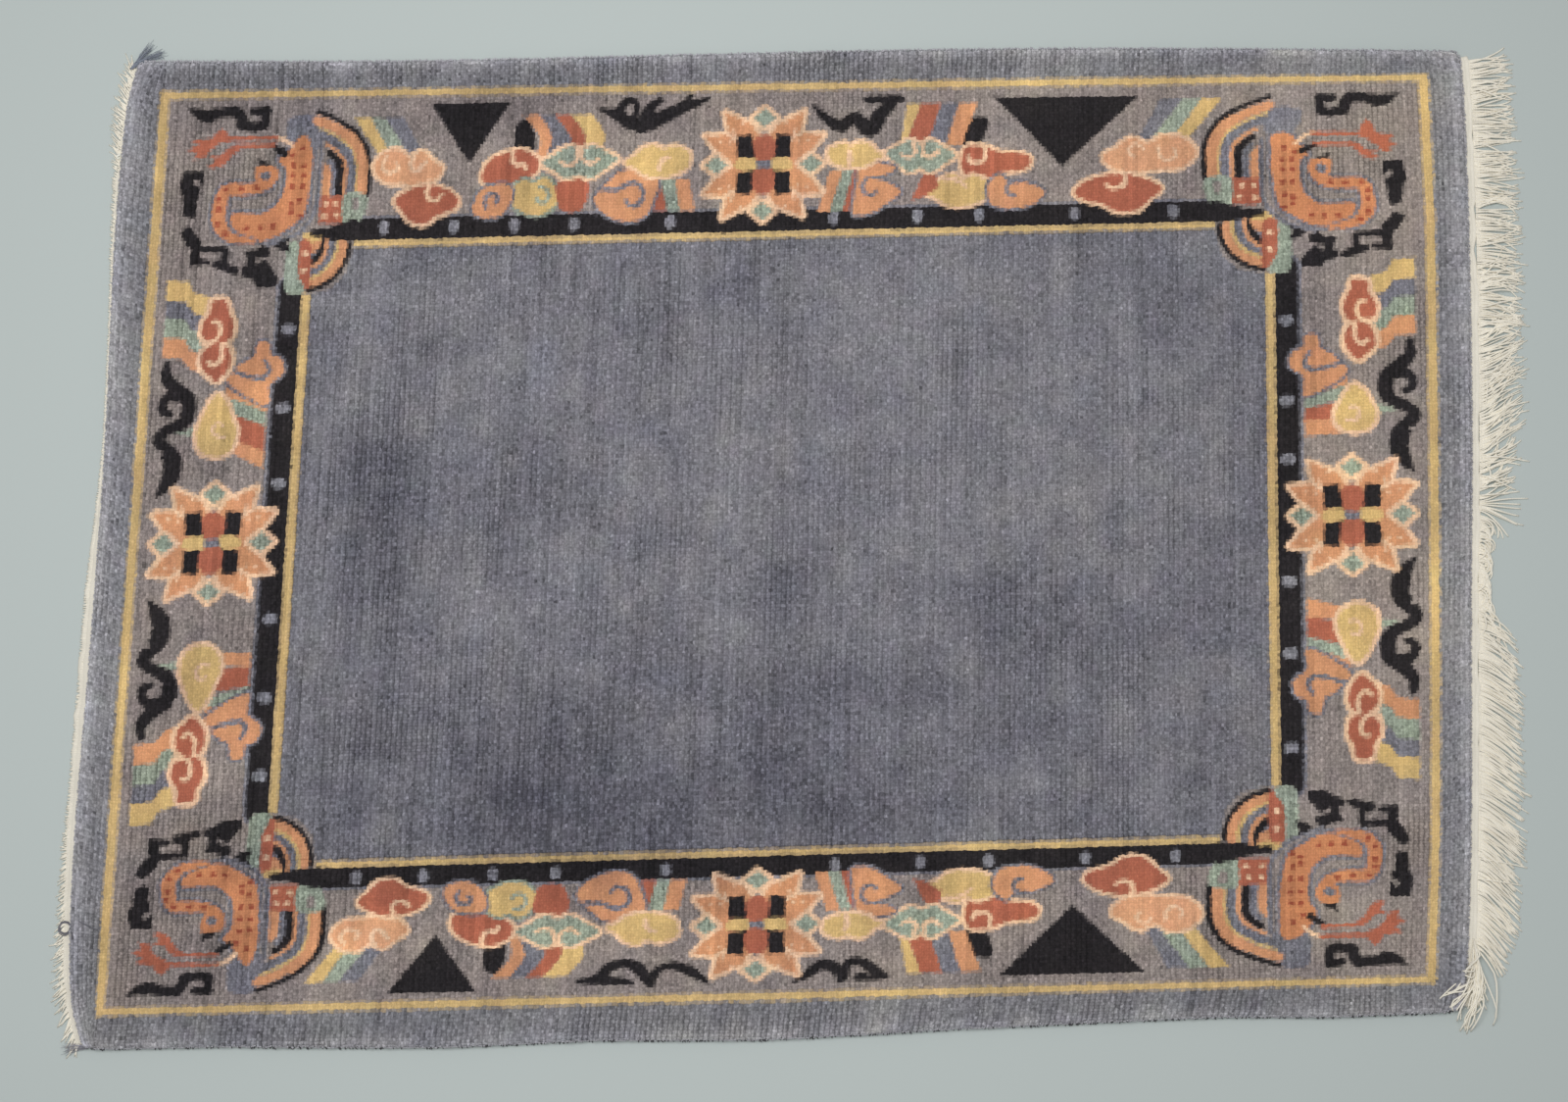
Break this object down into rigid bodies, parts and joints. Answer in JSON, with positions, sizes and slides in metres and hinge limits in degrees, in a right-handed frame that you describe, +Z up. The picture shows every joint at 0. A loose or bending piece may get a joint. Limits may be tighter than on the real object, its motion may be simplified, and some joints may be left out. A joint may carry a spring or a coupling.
{
  "type": "hand-knotted wool pile rug",
  "caption": "Flat hand-knotted wool pile rug with a plain field and a patterned border, bare cotton end strips and a long warp fringe along one end.",
  "frame": {"origin": "on the floor plane, under the middle of the bounding box", "axes": "+X along the warp towards the long fringe, +Y across the rug, +Z up out of the pile"},
  "size_m": [1.5368, 1.0252, 0.012],
  "materials": {
    "wool_pile": "cut wool pile",
    "cotton_warp": "spun cotton"
  },
  "bodies": {
    "root": {"pile_body": "wool_pile", "fringed_end": "cotton_warp", "cut_end": "cotton_warp"}
  },
  "joints": []
}
